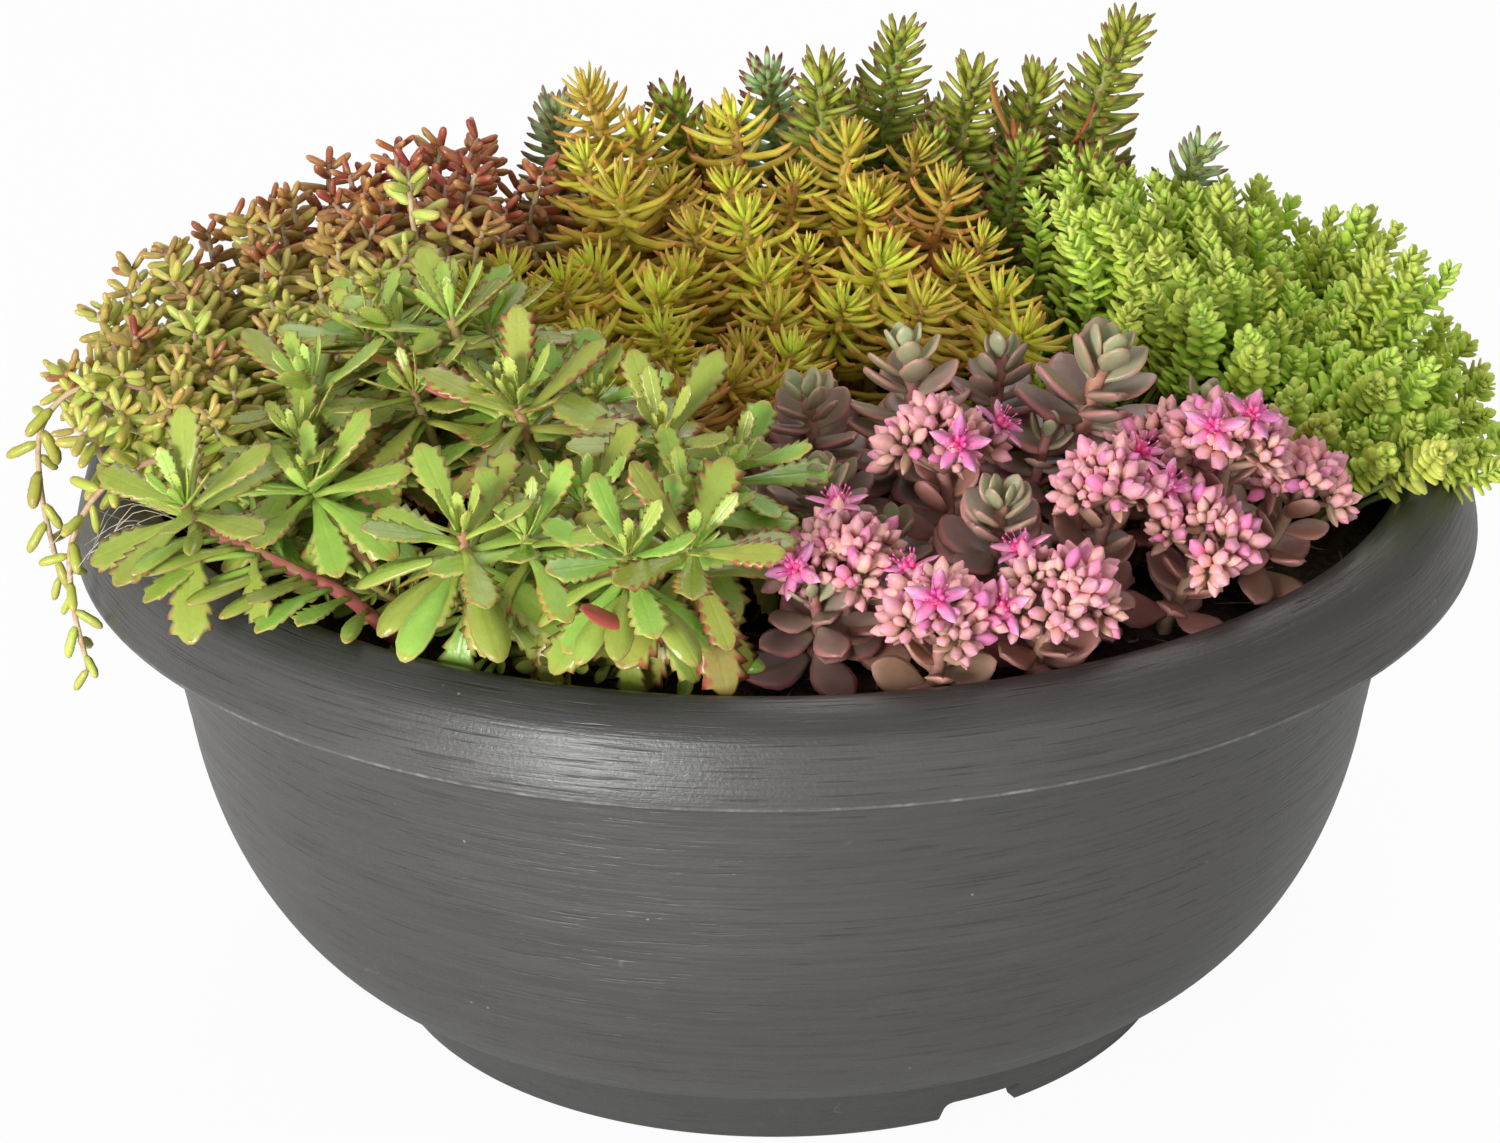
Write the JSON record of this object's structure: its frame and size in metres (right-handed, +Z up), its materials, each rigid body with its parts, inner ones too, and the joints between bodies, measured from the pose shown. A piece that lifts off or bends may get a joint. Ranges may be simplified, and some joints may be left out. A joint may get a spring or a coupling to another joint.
{
  "type": "potted sedum arrangement",
  "caption": "Round footed planter bowl filled with compost and planted with mixed stonecrops: toothed, bean-leaved, needle-leaved, moss-like and pink-flowering.",
  "frame": {"origin": "on the ground under the middle of the bowl, on the bowl's own axis", "axes": "+Z up along the bowl's axis, -Y towards the front with the toothed and the flowering plants, +X to the right"},
  "size_m": [0.3768, 0.35, 0.2267],
  "materials": {
    "bowl": "dark anthracite moulded plastic, satin, with a fine brushed grain running round it",
    "compost": "moist dark bark and peat compost with coarse fibres",
    "toothed": "mid to yellow-green fleshy leaves with red-brown toothed edges",
    "bean": "bean-shaped leaves, yellow-green to dark red-brown, on thin pinkish stems",
    "golden": "yellow-lime needle leaves with orange tips",
    "spruce": "green needle leaves with dark maroon tips",
    "moss": "bright yellow-green tiny overlapping leaves",
    "round": "thick purple-grey leaves with pink margins and pale green centres",
    "flower": "clusters of pink buds and open star flowers"
  },
  "bodies": {
    "root": {"bean_leaf_shoot_01": "bean", "bean_leaf_shoot_02": "bean", "bean_leaf_shoot_03": "bean", "bean_leaf_shoot_04": "bean", "bean_leaf_shoot_05": "bean", "bean_leaf_shoot_06": "bean", "bean_leaf_shoot_07": "bean", "bean_leaf_shoot_08": "bean", "bowl": "bowl", "compost": "compost", "flower_head_01": "flower", "flower_head_02": "flower", "flower_head_03": "flower", "flower_head_04": "flower", "flower_head_05": "flower", "flower_head_06": "flower", "golden_shoot_01": "golden", "golden_shoot_02": "golden", "golden_shoot_03": "golden", "golden_shoot_04": "golden", "golden_shoot_05": "golden", "golden_shoot_06": "golden", "golden_shoot_07": "golden", "golden_shoot_08": "golden", "golden_shoot_09": "golden", "golden_shoot_10": "golden", "golden_shoot_11": "golden", "moss_tuft_01": "moss", "moss_tuft_02": "moss", "moss_tuft_03": "moss", "moss_tuft_04": "moss", "moss_tuft_05": "moss", "moss_tuft_06": "moss", "moss_tuft_07": "moss", "moss_tuft_08": "moss", "round_leaf_rosette_01": "round", "round_leaf_rosette_02": "round", "round_leaf_rosette_03": "round", "round_leaf_rosette_04": "round", "round_leaf_rosette_05": "round", "round_leaf_rosette_06": "round", "spruce_leaf_spike_01": "spruce", "spruce_leaf_spike_02": "spruce", "spruce_leaf_spike_03": "spruce", "spruce_leaf_spike_04": "spruce", "spruce_leaf_spike_05": "spruce", "spruce_leaf_spike_06": "spruce", "spruce_leaf_spike_07": "spruce", "spruce_leaf_spike_08": "spruce", "spruce_leaf_spike_09": "spruce", "toothed_shoot_01": "toothed", "toothed_shoot_02": "toothed", "toothed_shoot_03": "toothed", "toothed_shoot_04": "toothed", "toothed_shoot_05": "toothed", "toothed_shoot_06": "toothed", "toothed_shoot_07": "toothed", "toothed_shoot_08": "toothed", "trailing_stem_01": "bean", "trailing_stem_02": "bean"}
  },
  "joints": []
}
